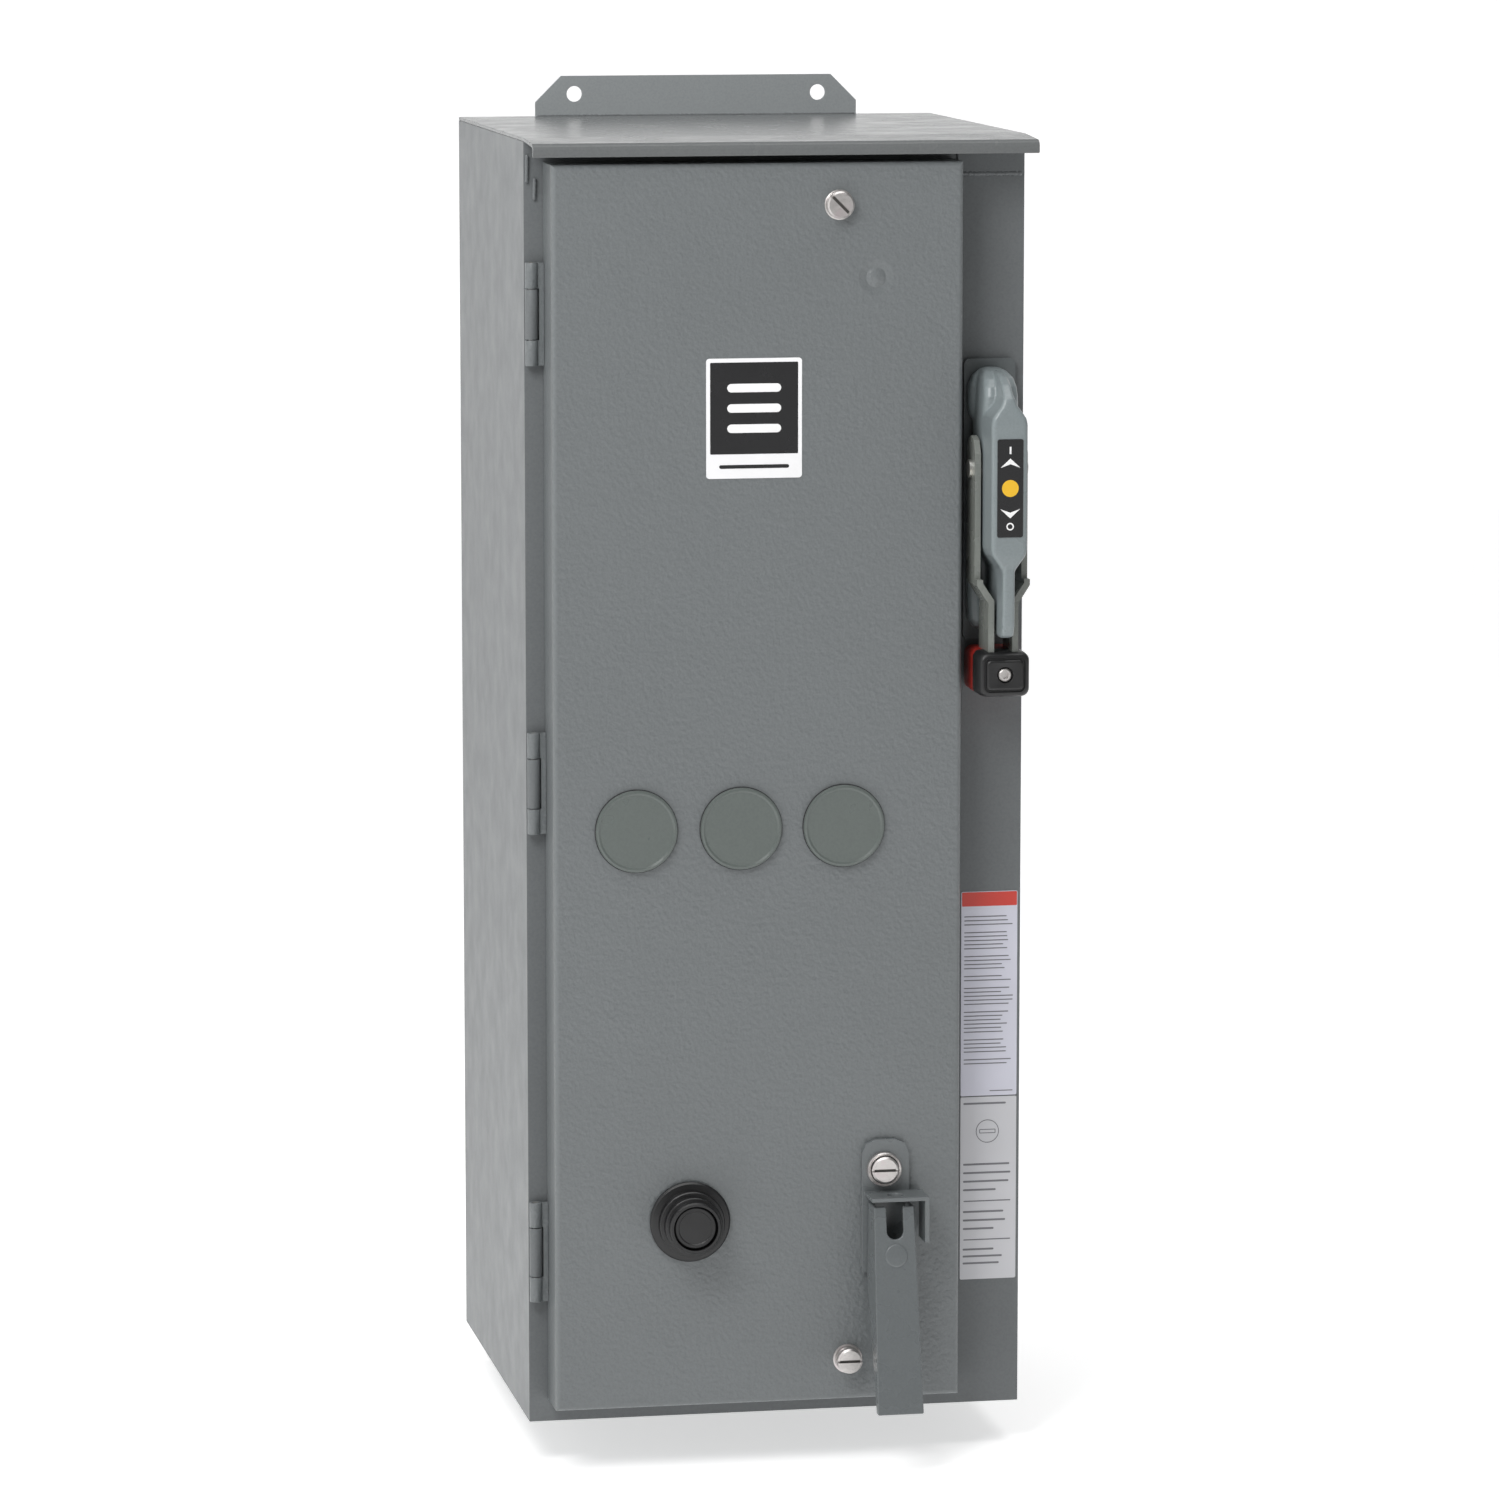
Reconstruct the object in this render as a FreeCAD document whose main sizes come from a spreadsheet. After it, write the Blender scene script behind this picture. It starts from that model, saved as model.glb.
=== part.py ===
"""Flange-operated combination motor starter enclosure with its motor protection breaker.

Frame: +X right seen from the front, +Y back toward the wall, +Z up, millimetres.
Origin: centre of the wall-mounting hole pattern, on the wall plane y = 0.
"""
import FreeCAD, Part
import Sketcher
import os, math

V3 = FreeCAD.Vector
doc = FreeCAD.newDocument("starter")
sheet = doc.addObject("Spreadsheet::Sheet", "Params")

SIZES = [
    ("case_width", 252), ("case_depth", 225), ("case_height", 645), ("steel", 1.9),
    ("open_left", -108), ("open_right", 78), ("open_half", 280), ("lip_out", 19),
    ("door_left", -116.5), ("door_right", 89), ("door_low", -311), ("door_high", 310.5),
    ("door_front", -253), ("door_gap", 0.8), ("door_bend", 2.4),
    ("hinge_x", -122.85), ("hinge_y", -228.5), ("hinge_long", 50.8), ("knuckle_rad", 3.1),
    ("pin_rad", 1.5), ("pin_play", 0.06), ("leaf", 1.2), ("knuckle_gap", 0.4),
    ("plate_rad", 20.5), ("plate_z", -18.5), ("plate_x1", -75.4), ("plate_x2", -22.8), ("plate_x3", 29.2),
    ("reset_x", -48.9), ("reset_z", -216.3), ("reset_cap", 10.8), ("reset_bore", 11.2), ("reset_proud", 19),
    ("rod_rad", 3), ("rod_len", 98),
    ("latch_x", 51.5), ("latch_z", -236), ("latch_plate_left", 38.4), ("latch_plate_right", 62.5),
    ("latch_plate_top", -177.8), ("latch_plate_low", -245.6), ("latch_thick", 3),
    ("lever_top_w", 20.4), ("lever_low_w", 23.4), ("lever_top", -209), ("lever_low", -311), ("lever_wall", 2),
    ("shaft_rad", 4.5), ("lock_x", 49.5), ("lock_z", -192.8), ("lock_rad", 6.75),
    ("screw_up_x", 26.4), ("screw_up_z", 289.8), ("screw_lo_x", 31.7), ("screw_lo_z", -290), ("screw_rad", 3),
    ("grip_x", 107.9), ("grip_w", 26), ("piv_y", -247.5), ("piv_z", 158),
    ("arm_in", 10.4), ("arm_thick", 3), ("house_x", 107.8), ("house_w", 18.4),
    ("base_left", 95), ("base_right", 121), ("base_low", 70), ("base_high", 211), ("base_thick", 3.5),
    ("ear_half", 85.7), ("ear_up", 21), ("ear_thick", 2), ("ear_hole", 4.1), ("ear_hole_x", 65), ("ear_hole_up", 11.5),
    ("panel_y", -24.5), ("panel_thick", 2.5), ("panel_half_w", 105), ("panel_half_h", 285),
    ("brk_left", -52), ("brk_right", 38), ("brk_low", 60), ("brk_high", 220), ("brk_front", -125),
    ("tog_x", -7), ("tog_y", -108), ("tog_z", 140), ("tog_len", 38), ("tog_tilt", 20),
    ("label_thick", 0.3),
]
for i, (alias, value) in enumerate(SIZES):
    sheet.set("A%d" % (i + 1), alias)
    sheet.set("B%d" % (i + 1), str(value))
    sheet.setAlias("B%d" % (i + 1), alias)
doc.recompute()


class Q:
    """A number together with the spreadsheet expression that gives it."""
    def __init__(self, n, e):
        self.n, self.e = float(n), e
    def _op(self, o, s, f, rev=False):
        on, oe = (o.n, o.e) if isinstance(o, Q) else (float(o), repr(float(o)))
        if rev:
            return Q(f(on, self.n), "(%s %s %s)" % (oe, s, self.e))
        return Q(f(self.n, on), "(%s %s %s)" % (self.e, s, oe))
    def __add__(self, o): return self._op(o, "+", lambda a, b: a + b)
    def __radd__(self, o): return self._op(o, "+", lambda a, b: a + b, True)
    def __sub__(self, o): return self._op(o, "-", lambda a, b: a - b)
    def __rsub__(self, o): return self._op(o, "-", lambda a, b: a - b, True)
    def __mul__(self, o): return self._op(o, "*", lambda a, b: a * b)
    def __rmul__(self, o): return self._op(o, "*", lambda a, b: a * b, True)
    def __truediv__(self, o): return self._op(o, "/", lambda a, b: a / b)
    def __neg__(self): return Q(-self.n, "(0 - %s)" % self.e)


class Names:
    pass


A = Names()
for alias, value in SIZES:
    setattr(A, alias, Q(value, "Params." + alias))


def num(v):
    return v.n if isinstance(v, Q) else float(v)


def bind(obj, prop, v):
    if isinstance(v, Q):
        setattr(obj, prop, v.n)
        obj.setExpression(prop, v.e)
    else:
        setattr(obj, prop, float(v))


def place(obj, x, y, z, rot=None):
    obj.Placement = FreeCAD.Placement(V3(num(x), num(y), num(z)), rot or FreeCAD.Rotation())
    for n, v in (("x", x), ("y", y), ("z", z)):
        if isinstance(v, Q):
            obj.setExpression(".Placement.Base." + n, v.e)


COUNT = [0]


def uid(k):
    COUNT[0] += 1
    return "%s_%03d" % (k, COUNT[0])


def box(x0, y0, z0, x1, y1, z1):
    o = doc.addObject("Part::Box", uid("box"))
    bind(o, "Length", x1 - x0)
    bind(o, "Width", y1 - y0)
    bind(o, "Height", z1 - z0)
    place(o, x0, y0, z0)
    return o


ROTS = {"x": FreeCAD.Rotation(V3(0, 1, 0), 90), "y": FreeCAD.Rotation(V3(1, 0, 0), -90), "z": FreeCAD.Rotation()}


def cyl(axis, x, y, z, r, length):
    """Cylinder from (x, y, z) along + axis."""
    o = doc.addObject("Part::Cylinder", uid("cyl"))
    bind(o, "Radius", r)
    bind(o, "Height", length)
    place(o, x, y, z, ROTS[axis])
    return o


def fuse(*objs):
    o = doc.addObject("Part::MultiFuse", uid("fuse"))
    o.Shapes = list(objs)
    o.Refine = True
    return o


def cut(base, *tools):
    t = tools[0] if len(tools) == 1 else fuse(*tools)
    o = doc.addObject("Part::Cut", uid("cut"))
    o.Base, o.Tool = base, t
    o.Refine = True
    return o


def common(a, b):
    o = doc.addObject("Part::Common", uid("common"))
    o.Base, o.Tool = a, b
    return o


def group(*objs):
    o = doc.addObject("Part::Compound", uid("group"))
    o.Links = list(objs)
    return o


def fillet(base, radius, pick):
    """Round the edges of base for which pick(edge) holds."""
    doc.recompute()
    ids = [i + 1 for i, e in enumerate(base.Shape.Edges) if pick(e)]
    o = doc.addObject("Part::Fillet", uid("fillet"))
    o.Base = base
    o.Edges = [(i, num(radius), num(radius)) for i in ids]
    return o


def origin_plane(body, role):
    return [f for f in body.Origin.OriginFeatures if f.Role == role][0]


def poly_sketch(body, role, pts, offset=0.0):
    sk = body.newObject("Sketcher::SketchObject", uid("sketch"))
    sk.AttachmentSupport = [(origin_plane(body, role), "")]
    sk.MapMode = "FlatFace"
    sk.AttachmentOffset = FreeCAD.Placement(V3(0, 0, num(offset)), FreeCAD.Rotation())
    if isinstance(offset, Q):
        sk.setExpression(".AttachmentOffset.Base.z", offset.e)
    n = len(pts)
    for i in range(n):
        a, b = pts[i], pts[(i + 1) % n]
        sk.addGeometry(Part.LineSegment(V3(num(a[0]), num(a[1]), 0), V3(num(b[0]), num(b[1]), 0)), False)
    for i in range(n):
        sk.addConstraint(Sketcher.Constraint("Coincident", i, 2, (i + 1) % n, 1))
    for i, (px, py) in enumerate(pts):
        for kind, v, ax in (("DistanceX", px, -2), ("DistanceY", py, -1)):
            if abs(num(v)) < 1e-9:
                sk.addConstraint(Sketcher.Constraint("PointOnObject", i, 1, ax))
            else:
                c = sk.addConstraint(Sketcher.Constraint(kind, -1, 1, i, 1, num(v)))
                if isinstance(v, Q):
                    sk.renameConstraint(c, "d%d" % c)
                    sk.setExpression("Constraints.d%d" % c, v.e)
    return sk


def pad_body(role, pts, length, offset=0.0, mid=False, at=None):
    b = doc.addObject("PartDesign::Body", uid("body"))
    sk = poly_sketch(b, role, pts, offset)
    p = b.newObject("PartDesign::Pad", uid("pad"))
    p.Profile = sk
    bind(p, "Length", length)
    p.Midplane = mid
    if at:
        place(b, *at)
    return b


def pocket(body, role, pts, depth, offset=0.0, both=False):
    sk = poly_sketch(body, role, pts, offset)
    p = body.newObject("PartDesign::Pocket", uid("pocket"))
    p.Profile = sk
    bind(p, "Length", depth)
    p.Midplane = both
    return p


def turned(x, y, z, pts, out=True):
    """Body of revolution about the line through (x, z) along Y; pts are (radius, distance out of plane y)."""
    b = doc.addObject("PartDesign::Body", uid("body"))
    sk = poly_sketch(b, "XZ_Plane", pts)
    r = b.newObject("PartDesign::Revolution", uid("rev"))
    r.Profile = sk
    r.ReferenceAxis = (sk, ["V_Axis"])
    r.Angle = 360.0
    place(b, x, y, z, FreeCAD.Rotation(V3(1, 0, 0), 90))
    return b


NODES = []


def node(name, obj):
    obj.Label = name
    NODES.append((name, obj))
    return obj


T = A.steel
HW, D, HH = A.case_width / 2, A.case_depth, A.case_height / 2
FY = -D                       # front flange plane

# ---------------------------------------------------------------- enclosure
outer = box(-HW, FY, -HH, HW, 0, HH - T)
inner = box(-HW + T, FY + T, -HH + T, HW - T, -T, HH)
mouth = box(A.open_left, FY - 1, -A.open_half, A.open_right, FY + T + 1, A.open_half)
lip = cut(box(A.open_left - T, FY - A.lip_out, -A.open_half - T, A.open_right + T, FY + 0.5, A.open_half + T),
          box(A.open_left, FY - A.lip_out - 1, -A.open_half, A.open_right, FY + 1, A.open_half))
slot = box(101.5, FY - 1, 122, 113.5, FY + T + 1, 172)
rec_up = cyl("y", A.screw_up_x, FY - 1, A.screw_up_z, 3.6, T + 2)
rec_lo = cyl("y", A.screw_lo_x, FY - 1, A.screw_lo_z, 3.6, T + 2)
shell = cut(fuse(cut(outer, inner, mouth), lip), slot, rec_up, rec_lo)
node("case_shell", shell)

hood = [(0, HH), (FY - 1, HH), (FY - 28.4, HH - 1.6), (FY - 30.4, HH - 2.8), (FY - 31, HH - 4.6),
        (FY - 31, HH - 8.3), (FY - 29.1, HH - 8.3), (FY - 29.1, HH - 4.9), (FY - 28.3, HH - 3.6), (FY - 1, HH - T), (0, HH - T)]
node("top_cover", pad_body("YZ_Plane", hood, A.case_width + 0.6, offset=-HW))
node("strip_baffle", pad_body("XZ_Plane", [(91.5, 303.5), (125.4, 303.5), (125.4, HH - T - 0.2), (91.5, HH - T - 0.2)], T, offset=D))


def ear(sign):
    e0, e1 = HH * sign, (HH + A.ear_up) * sign
    ch = (HH + 7.3) * sign
    b = pad_body("XZ_Plane", [(-A.ear_half, e0), (A.ear_half, e0), (A.ear_half, ch), (A.ear_half - 13.7, e1),
                              (-A.ear_half + 13.7, e1), (-A.ear_half, ch)], A.ear_thick)
    hz = (HH + A.ear_hole_up) * sign
    return cut(b, cyl("y", -A.ear_hole_x, -5, hz, A.ear_hole, 10), cyl("y", A.ear_hole_x, -5, hz, A.ear_hole, 10))


node("mounting_flange_top", ear(1))
node("mounting_flange_bottom", ear(-1))

# ---------------------------------------------------------------- hinges
HZ = (("upper", 236.2), ("middle", 3.1), ("lower", -234.4))
HX, HY = A.hinge_x, A.hinge_y
pins = []
for tag, zc in HZ:
    half = A.hinge_long / 2
    mid = A.hinge_long / 4
    kn = cyl("z", HX, HY, zc - mid + A.knuckle_gap, A.knuckle_rad, mid * 2 - A.knuckle_gap * 2)
    lf = box(HX, FY - A.leaf, zc - mid + A.knuckle_gap, -118.2, FY, zc + mid - A.knuckle_gap)
    bore = cyl("z", HX, HY, zc - half - 1, A.pin_rad + A.pin_play, A.hinge_long + 2)
    node("hinge_frame_leaf_" + tag, cut(fuse(kn, lf), bore))
    ka = cyl("z", HX, HY, zc - half, A.knuckle_rad, mid)
    kb = cyl("z", HX, HY, zc + mid, A.knuckle_rad, mid)
    strip = box(HX, HY - 0.6, zc - half, A.door_left, HY - 0.6 + A.leaf, zc + half)
    notch = box(HX - 4, HY - 4.2, zc - mid, -119.1, HY + 4, zc + mid)
    bore2 = cyl("z", HX, HY, zc - half - 1, A.pin_rad, A.hinge_long + 2)
    node("hinge_door_leaf_" + tag, cut(fuse(ka, kb, cut(strip, notch)), bore2))
    pins.append(cyl("z", HX, HY, zc - half, A.pin_rad, A.hinge_long))
node("hinge_pins", group(*pins))

# ---------------------------------------------------------------- door
DF = A.door_front
pan = doc.addObject("PartDesign::Body", "door_pan")
sk = poly_sketch(pan, "XZ_Plane", [(A.door_left, A.door_low), (A.door_right, A.door_low),
                                   (A.door_right, A.door_high), (A.door_left, A.door_high)], D + A.door_gap)
pd = pan.newObject("PartDesign::Pad", "door_pad")
pd.Profile = sk
bind(pd, "Length", -DF - D - A.door_gap)
doc.recompute()
front_edges = ["Edge%d" % (i + 1) for i, e in enumerate(pd.Shape.Edges)
               if all(abs(v.Point.y - DF.n) < 1e-6 for v in e.Vertexes)]
fl = pan.newObject("PartDesign::Fillet", "door_bend")
fl.Base = (pd, front_edges)
bind(fl, "Radius", A.door_bend)
pocket(pan, "XZ_Plane", [(A.door_left + T, A.door_low + T), (A.door_right - T, A.door_low + T),
                         (A.door_right - T, A.door_high - T), (A.door_left + T, A.door_high - T)], 40,
       offset=-DF - T)
holes = []
for px in (A.plate_x1, A.plate_x2, A.plate_x3):
    holes.append(cyl("y", px, DF - 1, A.plate_z, 15.25, T + 2))
for hx, hz, hr in ((A.reset_x, A.reset_z, 15.1), (A.screw_up_x, A.screw_up_z, 3.4), (A.screw_lo_x, A.screw_lo_z, 3.4),
                   (A.latch_x, A.latch_z, 4.9), (A.lock_x, A.lock_z, 3.4)):
    holes.append(cyl("y", hx, DF - 1, hz, hr, T + 2))
dent = doc.addObject("Part::Sphere", "weld_dent")
dent.Radius = 40
place(dent, 45.1, DF - 39.0, 253.8)
NODE_DOOR = cut(pan, *(holes + [dent]))
bump = doc.addObject("Part::Sphere", "weld_bump")
bump.Radius = 11
place(bump, 45.1, DF + 10.5, 253.8)
bump_clip = common(bump, box(35, DF - 1, 243, 55, DF + T, 264))
node("door_panel", fuse(NODE_DOOR, bump_clip))

GB = DF + T                         # inner face of the door
gasket = cut(box(A.open_left - 5, GB, -A.open_half - 5.5, A.open_right + 5.5, FY - A.lip_out - 0.6, A.open_half + 5.5),
             box(A.open_left + 3.5, GB - 1, -A.open_half + 2.5, A.open_right - 3.5, FY, A.open_half - 2.5))
node("door_gasket", gasket)

# closing plates over the three spare operator holes
seals, clamps, nuts = [], [], []
for tag, px in (("left", A.plate_x1), ("middle", A.plate_x2), ("right", A.plate_x3)):
    prof = [(0, 2.0), (18.2, 2.0), (19.2, 2.5), (20.1, 2.3), (A.plate_rad, 1.6), (A.plate_rad, 0.8),
            (2.5, 0.8), (2.5, -14), (0, -14)]
    node("closing_plate_" + tag, turned(px, DF, A.plate_z, prof))
    seals.append(turned(px, DF, A.plate_z, [(15.6, 0), (A.plate_rad + 0.35, 0), (A.plate_rad + 0.35, 0.8), (15.6, 0.8)]))
    cb = box(px - 19, GB, A.plate_z - 5, px + 19, GB + 2, A.plate_z + 5)
    clamps.append(cut(cb, cyl("y", px, GB - 1, A.plate_z, 2.5, 4)))
    hexn = pad_body("XY_Plane", [(4.5 * math.cos(math.radians(60 * k)), 4.5 * math.sin(math.radians(60 * k))) for k in range(6)],
                    4, at=(px, GB + 2, A.plate_z, ROTS["y"]))
    nuts.append(cut(hexn, cyl("y", px, GB, A.plate_z, 2.5, 8)))
node("closing_plate_gaskets", group(*seals))
node("closing_plate_clamps", group(*clamps))
node("closing_plate_nuts", group(*nuts))

# reset operator
RX, RZ, RP = A.reset_x, A.reset_z, A.reset_proud
node("reset_bezel", turned(RX, DF, RZ, [(3.4, -18), (3.4, -16), (A.reset_bore, -16), (A.reset_bore, RP), (12.4, RP), (13, RP - 0.7),
     (13, 14.4), (14.1, 14), (14.5, 13.6), (14.5, 9.3), (16.0, 9), (16.5, 8.5), (16.5, 4.2), (19.4, 3.5), (20.25, 2.6),
     (20.25, 0.8), (15, 0.8), (15, -18)]))
node("reset_gasket", turned(RX, DF, RZ, [(15, 0), (19.6, 0), (19.6, 0.8), (15, 0.8)]))
hexr = pad_body("XY_Plane", [(20 * math.cos(math.radians(60 * k)), 20 * math.sin(math.radians(60 * k))) for k in range(6)],
                5, at=(RX, GB, RZ, ROTS["y"]))
node("reset_locknut", cut(hexr, cyl("y", RX, GB - 1, RZ, 15, 8)))
node("reset_button", turned(RX, DF, RZ, [(A.rod_rad, 8), (A.reset_cap, 8), (A.reset_cap, 16.6), (10.0, 17.4), (8.6, 17.4),
     (8.2, 17.0), (0, 17.0), (0, 11), (A.rod_rad, 11)]))
node("reset_rod", turned(RX, DF, RZ, [(0, 11), (A.rod_rad, 11), (A.rod_rad, 9 - A.rod_len), (2.2, 8 - A.rod_len), (0, 8 - A.rod_len)]))
turn_n, turn_r, turn_p = 16, 6.5, 2.6
path = [V3(turn_r * math.cos(2 * math.pi * i / turn_n), turn_r * math.sin(2 * math.pi * i / turn_n), turn_p * i / turn_n)
        for i in range(int(turn_n * 15.0 / turn_p) + 1)]
circ = Part.Wire([Part.makeCircle(0.6, path[0], path[1] - path[0])])
coil = Part.makePolygon(path).makePipeShell([circ], True, False, 1)
spring = doc.addObject("Part::Feature", "coil_spring")
spring.Shape = coil
spring.Placement = FreeCAD.Placement(V3(num(RX), num(DF) + 14.6, num(RZ)), FreeCAD.Rotation(V3(1, 0, 0), 90))
node("reset_spring", spring)

# ---------------------------------------------------------------- latch
LP = A.latch_thick
LT, LB, LL, LR = A.latch_plate_top, A.latch_plate_low, A.latch_plate_left, A.latch_plate_right
back = pad_body("XZ_Plane", [(LL, LB), (LR, LB), (LR, LT - 7), (LR - 2, LT - 2.2), (LR - 7, LT), (LL + 7, LT), (LL + 2, LT - 2.2), (LL, LT - 7)], LP, offset=-DF)
SY = DF - LP
shelf = box(LL + 1.5, DF - 21, -206.2, 69.2, SY + 1, -204.2)
tab = box(67.0, DF - 21, -227.5, 69.2, DF - 5, -205)
catch = fuse(back, shelf, tab)
latch = cut(catch, cyl("z", 53.5, DF - 13, -209, 4.2, 8), cyl("y", A.latch_x, DF - 8, A.latch_z, A.shaft_rad + 0.35, 12),
            cyl("y", A.lock_x, DF - 8, A.lock_z, A.screw_rad + 0.4, 12))
node("latch_plate", latch)
node("latch_cup", turned(A.lock_x, SY, A.lock_z, [(7.3, 0), (8.7, 0), (8.7, 2.6), (8.1, 3.4), (7.3, 3.0)]))


def slotted(x, z, y0, head, proud, shank, slot_w, slot_d, angle, washer_gap=0.0):
    """Cheese-head screw; y0 is the seat plane, shank is how far it reaches in."""
    b = turned(x, y0, z, [(0, -shank), (A.screw_rad - 0.5, -shank), (A.screw_rad, -shank + 0.8), (A.screw_rad, washer_gap),
                          (head, washer_gap), (head, proud - 1.0), (head - 0.9, proud), (0, proud)])
    t = math.radians(-angle)
    corners = [(12 * i * math.cos(t) - slot_w / 2 * j * math.sin(t), 12 * i * math.sin(t) + slot_w / 2 * j * math.cos(t))
               for i, j in ((-1, -1), (1, -1), (1, 1), (-1, 1))]
    c = pad_body("XZ_Plane", corners, slot_d + 1, offset=proud - slot_d - y0, at=(x, 0, z))
    return cut(b, c)


node("interlock_screw", slotted(A.lock_x, A.lock_z, SY, A.lock_rad, 5.2, 15, 1.4, 1.8, 0, 0.4))

lt, lb, wt = A.lever_top, A.lever_low, A.lever_wall
prof_out = [(DF - 4.5, lt), (DF - 19, lt), (DF - 38, lb), (DF - 33.5, lb), (DF - 4.5, lt - 38)]
prof_in = [(DF, lt + 5), (DF - 17, lt + 5), (DF - 17 - 0.0, lt), (DF - 36.0, lb - 1), (DF + 1, lb - 1)]
lv = pad_body("YZ_Plane", prof_out, A.lever_low_w, mid=True, at=(A.latch_x, 0, 0))
li = pad_body("YZ_Plane", prof_in, A.lever_top_w - 2 * wt, mid=True, at=(A.latch_x, 0, 0))
wedge_l = pad_body("XZ_Plane", [(-15, lt + 2), (-A.lever_top_w / 2, lt + 2), (-A.lever_low_w / 2, lb - 2), (-15, lb - 2)], 75, offset=230, at=(A.latch_x, 0, 0))
wedge_r = pad_body("XZ_Plane", [(15, lt + 2), (15, lb - 2), (A.lever_low_w / 2, lb - 2), (A.lever_top_w / 2, lt + 2)], 75, offset=230, at=(A.latch_x, 0, 0))
un = fuse(cyl("y", A.latch_x + 0.2, DF - 30, lt - 12, 4.2, 40), box(A.latch_x - 4.0, DF - 30, lt - 12, A.latch_x + 4.4, DF, lt + 4))
lever = cut(lv, li, wedge_l, wedge_r, un)
web = box(A.latch_x - 9, DF - 20, A.latch_z - 8, A.latch_x + 9, DF - 8, A.latch_z + 6)
node("latch_lever", fuse(lever, web))
LX, LZ = A.latch_x, A.latch_z
node("latch_shaft", turned(LX, DF, LZ, [(0, 8), (A.shaft_rad, 8), (A.shaft_rad, -38), (0, -38)]))
cam = cut(fuse(cyl("y", LX, DF + 31, LZ, 8, 3), box(LX, DF + 31, LZ - 6, A.open_right - 1.4, DF + 34, LZ + 6)),
          cyl("y", LX, DF + 30, LZ, A.shaft_rad, 6))
node("latch_cam", cam)
hexl = pad_body("XY_Plane", [(8 * math.cos(math.radians(60 * k)), 8 * math.sin(math.radians(60 * k))) for k in range(6)],
                4, at=(LX, DF + 34, LZ, ROTS["y"]))
node("latch_nut", cut(hexl, cyl("y", LX, DF + 33, LZ, A.shaft_rad, 8)))
node("latch_strike", fuse(box(A.open_right + 0.4, FY + T, LZ - 16, 96, FY + T + 2, LZ + 16), box(A.open_right + 0.4, FY + T, LZ - 16, A.open_right + 2.4, FY + T + 9, LZ + 16)))

# captive door screws and their receivers
node("door_screw_upper", slotted(A.screw_up_x, A.screw_up_z, DF, 6.8, 5.4, 25.5, 1.5, 2.0, 45, 1.3))
node("door_screw_lower", slotted(A.screw_lo_x, A.screw_lo_z, DF, 6.35, 8.0, 25.5, 1.4, 1.8, 0, 1.5))
node("door_screw_washers", group(turned(A.screw_up_x, DF, A.screw_up_z, [(3.4, 0), (7.4, 0), (7.4, 0.8), (6.9, 1.0), (3.4, 1.0)]),
                                 turned(A.screw_lo_x, DF, A.screw_lo_z, [(3.4, 0), (7.4, 0), (7.4, 0.9), (6.9, 1.1), (3.4, 1.1)])))
recs = []
for sx, sz in ((A.screw_up_x, A.screw_up_z), (A.screw_lo_x, A.screw_lo_z)):
    h6 = pad_body("XY_Plane", [(7 * math.cos(math.radians(60 * k)), 7 * math.sin(math.radians(60 * k))) for k in range(6)],
                  7, at=(sx, FY + T, sz, ROTS["y"]))
    recs.append(cut(h6, cyl("y", sx, FY, sz, 3.0, 12)))
node("door_screw_receivers", group(*recs))

# ---------------------------------------------------------------- disconnect handle
PY, PZ = A.piv_y, A.piv_z
BT = A.base_thick
base = fillet(box(A.base_left, FY - BT, A.base_low, A.base_right, FY, A.base_high), 3.0,
              lambda e: abs(e.Vertexes[0].Point.x - e.Vertexes[1].Point.x) < 1e-6 and abs(e.Vertexes[0].Point.z - e.Vertexes[1].Point.z) < 1e-6)
well = cyl("x", 102, PY, PZ, 17.2, 11)
node("handle_base", cut(base, box(101.5, FY - BT - 1, 122, 113.5, FY + 1, 172), well))

hx, hw = A.house_x, A.house_w / 2
rear = pad_body("XZ_Plane", [(hx - hw - 0.6, 79), (hx - 6, 75), (hx + 6, 75), (hx + hw + 0.6, 79), (hx + hw + 0.6, 201), (hx + 6, 206.5), (hx - 6, 206.5), (hx - hw - 0.6, 201)], 9.5, offset=D + BT)
blk = pad_body("XZ_Plane", [(hx - hw, 120), (hx - hw + 5, 114), (hx + hw - 5, 114), (hx + hw, 120), (hx + hw, 184), (hx + hw - 5, 191), (hx - hw + 5, 191), (hx - hw, 184)], 48, offset=D + BT)
spine = pad_body("YZ_Plane", [(FY - BT, 76), (FY - 51.5, 76), (FY - 51.5, 188), (FY - 44, 202), (FY - 30, 207), (FY - BT, 207)], 6.4, mid=True, at=(hx, 0, 0))
bore_l = cyl("x", hx - hw - 1, PY, PZ, 4.9, A.house_w + 2)
node("handle_housing", cut(fuse(rear, blk, spine), well, bore_l, box(102, FY - 9, 123, 113, FY, 172)))
node("handle_label", box(hx - 6.5, FY - 51.5 - A.label_thick, 126.5, hx + 6.5, FY - 51.5, 175))


# left and right arms share one outline: beside the housing above, joggled into the grip below
def side_arm(sign, name):
    xi = hx + A.arm_in * sign            # inner face of the upper part
    x0 = xi if sign > 0 else xi - A.arm_thick
    up = [(PY + 9.4, 102), (PY - 9.4, 102), (PY - 9.4, PZ + 8), (PY - 6, PZ + 14.5), (PY, PZ + 16.5), (PY + 6, PZ + 14.5), (PY + 9.4, PZ + 8)]
    u = pad_body("YZ_Plane", up, A.arm_thick, at=(x0, 0, 0))
    a0, a1 = A.arm_in, A.arm_in + A.arm_thick
    s = sign
    j = pad_body("XZ_Plane", [(a0 * s, 104), (a1 * s, 104), (a1 * s, 101), ((a1 - 5.8) * s, 92), ((a1 - 5.8) * s, 58), ((a0 - 5.8) * s, 58),
                              ((a0 - 5.8) * s, 93.5), (a0 * s, 102.2)], 22, offset=-(PY + 6.5), at=(hx, 0, 0))
    node(name, cut(fuse(u, j), cyl("x", x0 - 1, PY, PZ, 4.5, 6), cyl("x", x0 - 8, PY - 4.5, 54, 2.6, 20)))


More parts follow.
